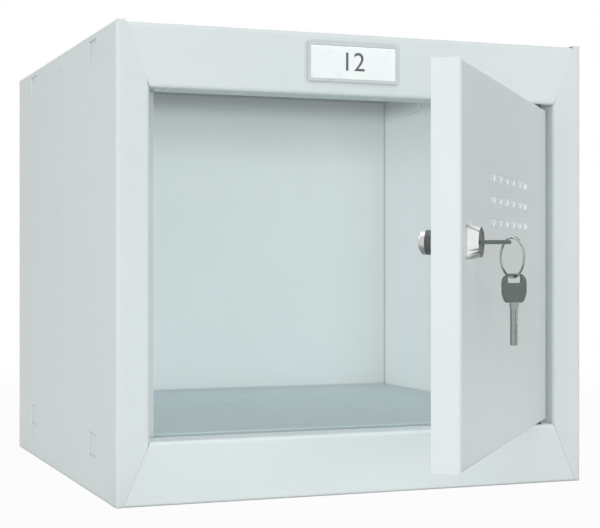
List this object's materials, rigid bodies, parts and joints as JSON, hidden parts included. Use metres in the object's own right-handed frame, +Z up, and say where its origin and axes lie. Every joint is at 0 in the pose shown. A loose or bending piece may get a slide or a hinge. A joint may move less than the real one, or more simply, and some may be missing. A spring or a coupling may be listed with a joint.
{
  "type": "cube locker",
  "caption": "Cube locker of folded sheet steel: an open compartment behind a vented, side-hung door with a cam lock and keys on a ring.",
  "frame": {"origin": "centre of the base's underside, on the surface that the locker stands on", "axes": "+Z up; the front faces -Y; +X is to the right seen from the front, where the door hangs"},
  "size_m": [0.4, 0.6671, 0.3655],
  "materials": {
    "body_paint": "smooth semi-matt powder coat, pale grey",
    "floor_paint": "semi-matt powder coat, mid grey",
    "label_frame": "satin grey",
    "label_card": "smooth white",
    "chrome": "bright chrome",
    "zinc": "bright zinc",
    "plug_chrome": "satin chrome",
    "nylon": "matt black",
    "key_head": "matt dark grey",
    "key_blade": "nickel, finely brushed"
  },
  "bodies": {
    "cabinet": {"left_side_panel": "body_paint", "right_side_panel": "body_paint", "base_pan": "body_paint", "roof_panel": "body_paint", "back_panel": "body_paint", "floor_panel": "floor_paint", "ceiling_panel": "body_paint", "label_frame": "label_frame", "label_card": "label_card", "hinge_bush_bottom": "nylon", "hinge_bush_top": "nylon"},
    "door": {"door_skin": "body_paint", "hinge_pin_bottom": "zinc", "hinge_pin_top": "zinc", "hinge_washer_bottom": "nylon", "hinge_washer_top": "nylon", "lock_housing": "chrome", "lock_nut": "zinc"},
    "plug": {"lock_plug": "plug_chrome", "lock_cam": "zinc", "cam_washer": "zinc", "cam_screw": "zinc"},
    "key": {"key_blade": "key_blade", "key_head": "key_head"},
    "ring": {"key_ring": "zinc"},
    "spare_key": {"spare_key_blade": "key_blade", "spare_key_head": "key_head"}
  },
  "joints": [
    {"name": "door_hinge", "type": "hinge", "parent": "cabinet", "child": "door", "pos_m": [0.1606, -0.1925, 0.182], "axis": [0, 0, 1], "range_deg": [-50.65, 69.35]},
    {"name": "lock_turn", "type": "hinge", "parent": "door", "child": "plug", "pos_m": [-0.028, -0.43434, 0.1965], "axis": [0.7733, -0.6341, 0], "range_deg": [0, 180]},
    {"name": "key_pull", "type": "slide", "parent": "plug", "child": "key", "axis": [0.7733, -0.6341, 0], "range_m": [0, 0.03]},
    {"name": "ring_swing", "type": "hinge", "parent": "key", "child": "ring", "pos_m": [-0.00801, -0.45074, 0.1965], "axis": [-0.9955, -0.095, 0], "range_deg": [0, 80]},
    {"name": "spare_key_swing", "type": "hinge", "parent": "ring", "child": "spare_key", "pos_m": [-0.00772, -0.45384, 0.17426], "axis": [0.095, -0.9955, 0], "range_deg": [-25, 25]}
  ]
}
